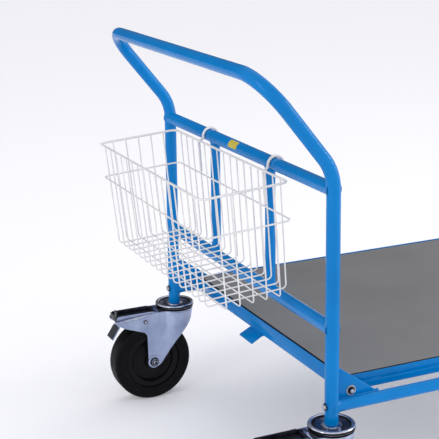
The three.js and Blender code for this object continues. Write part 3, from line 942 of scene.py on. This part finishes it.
swivelFork = {
    # y, z and corner radius, from the front of the bridge down the leg and back up the arm
    "outline": [
        (40, 227, 0),
        (34, 206, 14),
        (18, 184, 26),
        (-56, 84.5, 15),
        (-84, 84.5, 14),
        (-86, 178, 11),
        (-148, 200, 10),
        (-164, 212, 2),
        (-165, 218, 2),
        (-60, 227.5, 3),
        (-46, 227.3, 0),
    ],
    "bridge": (-47, 41, 196),
    "swell": {"low": 118, "high": 216, "radius": 44},
    "rivet": (-90.5, 207.8),
}


def addAxle(name, body, replaced, x, y):
    shape = bmesh.new()
    outer = c["forkOuter"] + 0.4
    centre = at(x, y, c["axle"])
    profile = [(0, -outer), (5.9, -outer), (5.9, outer), (0, outer)]
    addTurned(shape, profile, centre, "X", 24)
    for side in (-1, 1):
        out = Vector((side, 0, 0))
        washer = [(0, outer - 0.2), (11.4, outer - 0.2), (12, outer + 0.3), (12, outer + 1.3)]
        washer += [(11.5, outer + 1.8), (0, outer + 1.8)]
        addTurned(shape, [(r, side * v) for r, v in washer], centre, "X", 40)
        addHex(shape, centre + out * (outer + 1.7) / 1000, out, 17, 6.3 if side > 0 else 7, 8)
    thread = threadProfile(5.2, outer + 7.6, outer + 11)
    addTurned(shape, thread, centre, "X", 24)

    def dull(face):  # the washers and the thread end
        flat = abs(face.center.x - centre.x) * 1000 < outer + 1.9
        return flat or math.hypot(face.center.y - centre.y, face.center.z - centre.z) < 0.0042

    finishPiece(
        name, shape, boltSteel, body, replaced, others=[darkSteelAndShade], where=dull
    )


tyre = {
    "inner": 70.4,
    # radius and distance from the middle plane, for one side
    "side": [
        (70.4, 22.0),
        (73.5, 23.2),
        (75.0, 24.4),
        (77.5, 24.6),
        (79.0, 23.6),
        (82.0, 23.8),
        (87.5, 24.6),
        (89.0, 24.0),
        (90.5, 24.0),
        (92.0, 24.2),
        (95.4, 23.8),
        (97.8, 22.4),
        (99.2, 20.0),
        (99.8, 17.6),
        (100.0, 11.0),
        (100.0, 3.0),
    ],
}


def addTyre(shape, centre):
    one = tyre["side"]
    profile = [(r, -v) for r, v in one] + [(r, v) for r, v in reversed(one)] + [(one[0][0], -one[0][1])]
    addTurned(shape, profile, centre, "X", 120)


rim = {
    "side": [
        (6.5, 25.8),
        (17.0, 25.8),
        (18.6, 25.2),
        (19.2, 23.8),
        (20.0, 15.0),
        (21.5, 12.5),
        (25.0, 11.6),
        (46.0, 9.6),
        (50.0, 9.8),
        (51.6, 10.8),
        (53.0, 13.0),
        (54.4, 17.6),
        (56.0, 19.6),
        (58.5, 20.4),
        (66.5, 20.8),
        (68.6, 20.4),
        (70.0, 19.0),
    ]
}


def addRim(shape, centre):
    one = rim["side"]
    profile = [(r, -v) for r, v in one[::-1]] + [(r, v) for r, v in one]
    addTurned(shape, profile + [profile[0]], centre, "X", 96)


def addWheel(name, body, x, y):
    centre = at(x, y, c["axle"])
    shape = bmesh.new()
    addTyre(shape, centre)
    finishPiece("rubberTyre_" + name, shape, blackRubber, body, ["tyre_" + name], smooth=45)
    shape = bmesh.new()
    addRim(shape, centre)
    finishPiece("wheelCentre_" + name, shape, blackPlastic, body, ["rim_" + name], smooth=40)


lever = {"half": 24, "floor": (218, 220.6), "reach": (-160, -50), "lip": 231, "pedalTop": -152}


def addLever(shape, x):
    half = lever["half"]
    y0, y1 = lever["reach"]
    z0, z1 = lever["floor"]
    addBlock(shape, at(x - half, y0, z0), at(x + half, y1, z1), 0.8)
    for side in (-1, 1):
        xs = sorted((x + side * half, x + side * (half - 2.2)))
        outline = [(y0, z0 + 0.5, 0), (y1, z0 + 0.5, 0), (y1, 226, 5), (-70, lever["lip"], 5), (y0, lever["lip"], 3)]
        addPlate(shape, outline, *xs, edge=0.6)
    # raised rib along the floor, and the upturned lip at the pedal end
    addBlock(shape, at(x - 9, y0 + 16, z1 - 0.4), at(x + 9, y1 - 18, z1 + 1.8), 1.6, 3)
    endPlate = [(y0 - 3, 214, 0.8), (y0, 214, 0), (y0, 229, 1.2), (y0 - 3, 229, 1.2)]
    addPlate(shape, endPlate, x - half, x + half, 0.5)
    tongue = [(y0 - 3, 224, 0), (y0, 224, 0), (y0 - 0.6, 245.5, 1), (y0 - 3, 245.5, 1)]
    addPlate(shape, tongue, x + 7, x + 21, 0.5)
    pedal = [(-152, 219.5, 0), (-155, 218, 3), (-155.2, 201, 3), (-175, 170.4, 1), (-172.6, 168.9, 1), (-152.4, 199.6, 3)]
    addPlate(shape, pedal, x - 17, x + 17, 0.5)
    addPlate(shape, [(-134, 219, 0), (-118, 219, 0), (-118, 199.5, 2), (-130, 196.5, 2)], x - 16, x + 16, 0.8)
    y, z = c["pivot"]
    pin = [(0, -26.8), (3.5, -26.8), (3.5, 26.8), (0, 26.8)]
    addTurned(shape, pin, at(x, y, z), "X", 24)


# ribbed pad on the sloping pedal, drawn flat and then turned onto it
pad = {"width": 32, "length": 33, "thick": 3.3, "ribs": 7}


def addPad(shape, x):
    part = bmesh.new()
    w, l, t = (pad[k] / 1000 for k in ("width", "length", "thick"))
    addBlock(part, Vector((-w / 2, 0, 0)), Vector((w / 2, l, t * 0.7)), 1.0, 3)
    for i in range(pad["ribs"]):
        y = l * (i + 0.6) / pad["ribs"]
        addBlock(part, Vector((-w / 2 + 0.003, y - 0.0012, t * 0.4)), Vector((w / 2 - 0.003, y + 0.0012, t)), 0.5, 2)
    slope = Vector((0, -21, -32)).normalized()
    outward = Vector((0, -32, 21)).normalized()
    turn = Matrix((acrossAxis, slope, outward)).transposed().to_4x4()
    if turn.determinant() < 0:
        turn = Matrix((-acrossAxis, slope, outward)).transposed().to_4x4()
    place = Matrix.Translation(at(x, -155.2, 201) + outward * 0.0004 + slope * 0.002) @ turn
    bmesh.ops.transform(part, matrix=place, verts=part.verts[:])
    merge(shape, part)


def addStemBolt(shape, x):
    y = -h["tube"] / 2 - 0.3
    centre = at(x, y, c["boltZ"])
    addTurned(shape, [(0, -1), (4, -1), (4, 18), (0, 18)], centre, "Y", 24)
    washer = [(0, 0.2), (7.4, 0.2), (7.8, -0.2), (7.8, -1), (7.4, -1.4), (0, -1.4)]
    addTurned(shape, washer, centre, "Y", 32)
    addHex(shape, centre + Vector((0, -0.0012, 0)), Vector((0, -1, 0)), 11, 4, 10)


for name, side in sides.items():
    x = side * h["halfWidth"]
    body = "castor_" + name
    foot = c["foot"]

    shape = bmesh.new()
    addHead(shape, x, 0)
    nut = [(0, foot - 5), (8, foot - 5), (8, foot - 22), (14, foot - 22), (15, foot - 23), (15, foot - 26), (14, foot - 27), (0, foot - 27)]
    addTurned(shape, nut, at(x, 0, 0), steps=40)
    axis = at(x, 0, 0)

    # Zone 1 paints the head's outer edge and a thin ring inside the rim in black plastic: painted shade. Zone 2
    # paints the well in the dark zinc: painted dark reflection. Zone 0 keeps the bright zinc.
    def headShadeZone(face, axis=axis):
        away = math.hypot(face.center.x - axis.x, face.center.y - axis.y) * 1000
        return 1 if away > 47.3 or 37.6 < away < 39.4 else 2 if 21.6 < away < 37.6 else 0

    finishPiece(
        "dishedHead_" + name, shape, brightZincAndHighlight, "frame", ["stem_" + name], smooth=40,
        others=[blackPlastic, darkReflectZinc], where=headShadeZone,
    )

    shape = bmesh.new()
    addStemBolt(shape, x)
    finishPiece(
        "stemBolt_" + name, shape, darkSteelAndShade, "frame", ["stem_bolt_" + name],
        others=[boltSteel], where=lambda face, limit=at(0, -15.8, 0).y: face.center.y < limit,
    )

    shape = bmesh.new()
    low = foot - 8.6
    ring = [(36, low), (45, low), (46.2, low + 0.6), (46.5, low + 1.6), (46.2, low + 2.6), (45, low + 3.2)]
    ring += [(36, low + 3.2), (36, low)]
    addTurned(shape, ring, at(x, 0, 0), steps=96)
    finishPiece("sealRing_" + name, shape, blackPlastic, body, ["seal_" + name])

    shape = bmesh.new()
    top = foot - 9
    crown = [(8.3, top), (40, top), (43, top - 0.8), (44.8, top - 2.6), (45, top - 5), (44.4, top - 9), (42, top - 11.4), (38, top - 12), (8.3, top - 12), (8.3, top)]
    addTurned(shape, crown, at(x, 0, 0), steps=96)
    addFork(shape, x, 0, swivelFork["outline"], swivelFork["bridge"], swivelFork["swell"])
    for out in (-1, 1):
        # axle boss and the rolled edge along the top of the arm
        boss = [(0, out * 30), (15.5, out * 30), (15, out * 30.3), (0, out * 30.3)]
        addTurned(shape, boss, at(x, -c["trail"], c["axle"]), "X", 40)
        edge = x + out * 28.6
        bentBar(shape, [at(edge, -163.5, 217), at(edge, -64, 226.6)], 5.2, [], 16, 10)
    inside, crownEdge = at(x, 0, 0).x, at(0, -63, 0).y

    # Faces along the rolled top edge of each arm take the brighter, shinier zinc: painted highlight for the bright
    # line along that edge.
    def rolledEdgeHighlight(face, inside=inside, crownEdge=crownEdge):
        line = 0.2330 + (face.center.y - uprightY) * 0.0965
        wide = abs(face.center.x - inside)
        return face.center.y < crownEdge and wide > 0.0255 and face.center.z > line - 0.0024

    finishPiece(
        "pressedFork_" + name, shape, zincPlate, body, ["fork_" + name],
        smooth=40, others=[brightZincAndHighlight], where=rolledEdgeHighlight,
    )
    # rivet that holds the brake spring, sunk in a shallow ring that is painted dark as shade round its head
    shape = bmesh.new()
    for out in (-1, 1):
        rivet = [(0, out * 29.8), (5.4, out * 29.8), (5.2, out * 30.4), (3.9, out * 30.3)]
        rivet += [(3.6, out * 31.2), (2.6, out * 31.9), (1.2, out * 32.2), (0, out * 32.3)]
        addTurned(shape, rivet, at(x, *swivelFork["rivet"]), "X", 24)
    middle = at(x, *swivelFork["rivet"])
    finishPiece(
        "springRivet_" + name, shape, boltSteel, body, smooth=50, others=[darkSteelAndShade],
        where=lambda face: math.hypot(face.center.y - middle.y, face.center.z - middle.z) > 0.0036,
    )

    addAxle("axleBolt_" + name, body, ["axle_" + name], x, -c["trail"])
    shape = bmesh.new()
    addLever(shape, x)
    middle = at(x, lever["pedalTop"] - 0.5, 0)

    # Only the outer wall faces and the pedal take zinc; the inside and floor of the channel keep the dark steel as
    # painted shade.
    def zincOutsideOnly(face, middle=middle):
        pedal = face.center.y < middle.y and face.center.z < 0.213
        wall = abs(face.center.x - middle.x) * 1000 > lever["half"] - 0.2 and face.center.z > 0.2185
        return pedal or wall

    finishPiece(
        "channelLever_" + name, shape, darkSteelAndShade, "brake_" + name,
        ["brake_lever_" + name], others=[zincPlate], where=zincOutsideOnly,
    )
    shape = bmesh.new()
    addPad(shape, x)
    finishPiece("ribbedPad_" + name, shape, greyNylon, "brake_" + name, ["pedal_pad_" + name])
    addWheel(name, "wheel_" + name, x, -c["trail"])

rearFork = {
    "outline": [
        (40, 226, 0),
        (36, 209, 12),
        (15, 100, 0),
        (10.5, 84.5, 7),
        (-10.5, 84.5, 7),
        (-15, 100, 0),
        (-36, 209, 12),
        (-40, 226, 0),
    ],
    "bridge": (-41, 41, 219),
}
for name, side in sides.items():
    x = side * h["halfWidth"]
    foot = c["foot"]
    shape = bmesh.new()
    plate = [(0, foot), (41, foot), (44.6, foot - 1), (46, foot - 4), (44.6, foot - 14), (42, foot - 16), (0, foot - 16)]
    addTurned(shape, plate, at(x, postY, 0), steps=96)
    addFork(shape, x, postY, rearFork["outline"], rearFork["bridge"])
    for out in (-1, 1):
        face = x + out * c["forkOuter"]
        xs = sorted((face - out * 0.6, face + out * 0.9))
        rib = [(postY + 20, 205, 9), (postY + 7, 118, 6), (postY - 7, 118, 6), (postY - 20, 205, 9)]
        addPlate(shape, rib, *xs, edge=0.85, segments=3)
    finishPiece("fixedFork_" + name, shape, zincPlate, "frame", ["rear_fork_" + name], smooth=40)
    addAxle("axleBolt_rear_" + name, "frame", ["axle_rear_" + name], x, postY)
    addWheel("rear_" + name, "rear_wheel_" + name, x, postY)
print("castors made")

# ---- basket ------------------------------------------------------------------------------
basket = {
    "topHalf": 284,
    "floorHalf": 276,
    "topDepth": 192,
    "floorDepth": 184,
    "height": 238,
    "tilt": 4.2,
    "footY": -15.5,
    "footZ": 470,
    "wire": 3.1,
    "rimWire": 5.0,
    "hoopWire": 3.8,
    "bend": 8.5,
    "crossWires": 17,  # gaps along the long walls
    "longWires": 6,  # gaps along the short walls
    "hoopAt": 0.66,
}
b = basket
tilt = Matrix.Rotation(math.radians(b["tilt"]), 4, "X")


def inBasket(x, y, z):
    return at(0, b["footY"], b["footZ"]) + (tilt @ (Vector((x, y, z)) / 1000))


# half width and depth of the wire cage at a share of the height
def cage(share, proud=0):
    half = b["floorHalf"] + (b["topHalf"] - b["floorHalf"]) * share + proud
    depth = b["floorDepth"] + (b["topDepth"] - b["floorDepth"]) * share + proud
    return half, depth


inset = 3.0  # the upright wires stand this far inside the hoops
topShare = 1 - 3 / b["height"]
half0, depth0 = cage(0, -inset)
half1, depth1 = cage(topShare, -inset)
zTop = b["height"] * topShare
wireLow = 4.6

shape = bmesh.new()
for i in range(1, b["crossWires"]):
    u = 2 * i / b["crossWires"] - 1
    corners = [
        inBasket(u * half1, -inset, zTop),
        inBasket(u * half0, -inset, wireLow),
        inBasket(u * half0, -depth0, wireLow),
        inBasket(u * half1, -depth1, zTop),
    ]
    bentBar(shape, corners, b["wire"], [b["bend"]] * 2, 10, 15)
finishPiece(
    "crossWires", shape, whiteWire, "basket",
    ["basket_front", "basket_back"], smooth=60,
)
shape = bmesh.new()
for i in range(1, b["longWires"]):
    v = i / b["longWires"]
    y0 = -inset - v * (depth0 - inset)
    y1 = -inset - v * (depth1 - inset)
    corners = [
        inBasket(-half1, y1, zTop),
        inBasket(-half0, y0, wireLow - b["wire"]),
        inBasket(half0, y0, wireLow - b["wire"]),
        inBasket(half1, y1, zTop),
    ]
    bentBar(shape, corners, b["wire"], [b["bend"]] * 2, 10, 15)
finishPiece(
    "longWires", shape, whiteWire, "basket",
    ["basket_left", "basket_right", "basket_floor"], smooth=60,
)


# closed rectangular hoop with round corners
def addHoop(shape, z, half, depth, yBack, wire, bend):
    corners = [
        inBasket(0, yBack, z),
        inBasket(half, yBack, z),
        inBasket(half, -depth, z),
        inBasket(-half, -depth, z),
        inBasket(-half, yBack, z),
        inBasket(0, yBack, z),
    ]
    bentBar(shape, corners, wire, [bend] * 4, 12, 12)


shape = bmesh.new()
half, depth = cage(1, -b["rimWire"] / 2)
addHoop(shape, b["height"] - b["rimWire"] / 2, half, depth, -b["rimWire"] / 2, b["rimWire"], 14)
half, depth = cage(b["hoopAt"], -0.8)
addHoop(shape, b["height"] * b["hoopAt"], half, depth, -0.4, b["hoopWire"], 12)
finishPiece(
    "basketHoops", shape, whiteWire, "basket", ["basket_rim"], smooth=60
)

hook = {"x": 160, "wire": 6, "low": 160, "bend": 9}
for name, side in sides.items():
    reach = h["tube"] / 2 + 0.8 + hook["wire"] / 2
    angle = math.radians(b["tilt"])
    z = h["upperBarZ"]

    def onWall(height):
        off = 0.3 + hook["wire"] / 2
        y = b["footY"] - height * math.sin(angle) + off * math.cos(angle)
        return at(side * hook["x"], y, b["footZ"] + height * math.cos(angle) + off * math.sin(angle))

    corners = [
        onWall(hook["low"]),
        onWall(b["height"] - 10),
        at(side * hook["x"], -reach, z - 4),
        at(side * hook["x"], -reach, z + reach),
        at(side * hook["x"], reach, z + reach),
        at(side * hook["x"], reach, z - 12),
    ]
    shape = bmesh.new()
    bentBar(shape, corners, hook["wire"], [6, 5, reach - 0.05, reach - 0.05], 16, 9)
    finishPiece(
        "wireHook_" + name, shape, whiteWire, "basket",
        ["basket_hook_" + name], smooth=60,
    )
print("basket made")

# ---- floor, light and camera ------------------------------------------------------------
stage = {"size": 14, "colour": "#F1F1F5", "glow": 0.17}  # a light table, so it glows a little
shape = bmesh.new()
bmesh.ops.create_grid(shape, x_segments=2, y_segments=2, size=stage["size"])
mesh = bpy.data.meshes.new("paleFloor")
shape.to_mesh(mesh)
shape.free()
floor = bpy.data.objects.new("paleFloor", mesh)
bpy.context.scene.collection.objects.link(floor)
floorPaint = bpy.data.materials.new("pale studio floor")
floorPaint.use_nodes = True
floorShader = floorPaint.node_tree.nodes["Principled BSDF"]
floorShader.inputs["Base Color"].default_value = fromHex(stage["colour"])
floorShader.inputs["Roughness"].default_value = 0.85
floorShader.inputs["Emission Color"].default_value = fromHex(stage["colour"])
floorShader.inputs["Emission Strength"].default_value = stage["glow"]
mesh.materials.append(floorPaint)

# tent of light: brightest low down, dimmer overhead, and open towards the far left,
# so that the bars keep their colour where they mirror that side
sky = {
    "horizon": 1.05,
    "low": 1.34,
    "overhead": 0.72,
    "tint": (0.985, 0.985, 1.0),
    "openFrom": -0.45,
    "openTo": -0.85,
    "openLevel": 0.1,
}
world = bpy.data.worlds.new("studio")
world.use_nodes = True
direction = addNode(world, "TexCoord").outputs["Generated"]
split = addNode(world, "SeparateXYZ", {}, {0: direction})
levels = addNode(
    world,
    "ValToRGB",
    {},
    {"Fac": split.outputs["Z"]},
    [
        (place, (*[sky[level] * t for t in sky["tint"]], 1))
        for place, level in ((0.0, "horizon"), (0.35, "low"), (0.9, "overhead"))
    ],
)
opening = addNode(
    world,
    "MapRange",
    {"From Min": sky["openTo"], "From Max": sky["openFrom"], "To Min": sky["openLevel"]},
    {"Value": split.outputs["X"]},
)
glow = world.node_tree.nodes["Background"]
world.node_tree.links.new(levels.outputs["Color"], glow.inputs["Color"])
world.node_tree.links.new(opening.outputs["Result"], glow.inputs["Strength"])
bpy.context.scene.world = world

lamps = {
    "overhead": {"at": (-0.6, 0.6, 4.0), "aim": (0, 0, 0.3), "size": (4.0, 4.0), "power": 14},
    "stripLeft": {"at": (1.2, -3.4, 1.6), "aim": (0, -0.5, 0.6), "size": (0.3, 2.6), "power": 16},
    "softRight": {"at": (2.05, 4.48, 1.9), "aim": (0.39, -0.55, 0.8), "size": (0.75, 3.6), "power": 90},
}
for name, lamp in lamps.items():
    data = bpy.data.lights.new(name, "AREA")
    data.shape = "RECTANGLE"
    data.size, data.size_y = lamp["size"]
    data.energy = lamp["power"]
    light = bpy.data.objects.new(name, data)
    light.location = lamp["at"]
    light.rotation_euler = (Vector(lamp["aim"]) - Vector(lamp["at"])).to_track_quat("-Z", "Y").to_euler()
    bpy.context.scene.collection.objects.link(light)

view = {
    "at": (2347.6, -1135.1, 1298.7),
    "azimuth": 65.243,
    "down": 13.87,
    "roll": -0.734,
    "lens": 101.97,
    "shiftY": -0.1025,
}
cameraData = bpy.data.cameras.new("camera")
cameraData.lens = view["lens"]
cameraData.sensor_width = 36
cameraData.shift_y = view["shiftY"]
cameraData.clip_end = 100
camera = bpy.data.objects.new("camera", cameraData)
camera.matrix_world = (
    Matrix.Translation(at(*view["at"]))
    @ Matrix.Rotation(math.radians(view["azimuth"]), 4, "Z")
    @ Matrix.Rotation(math.radians(90 - view["down"]), 4, "X")
    @ Matrix.Rotation(math.radians(view["roll"]), 4, "Z")
)
bpy.context.scene.collection.objects.link(camera)
bpy.context.scene.camera = camera
bpy.context.scene.view_settings.view_transform = "Standard"

print("scene ready")
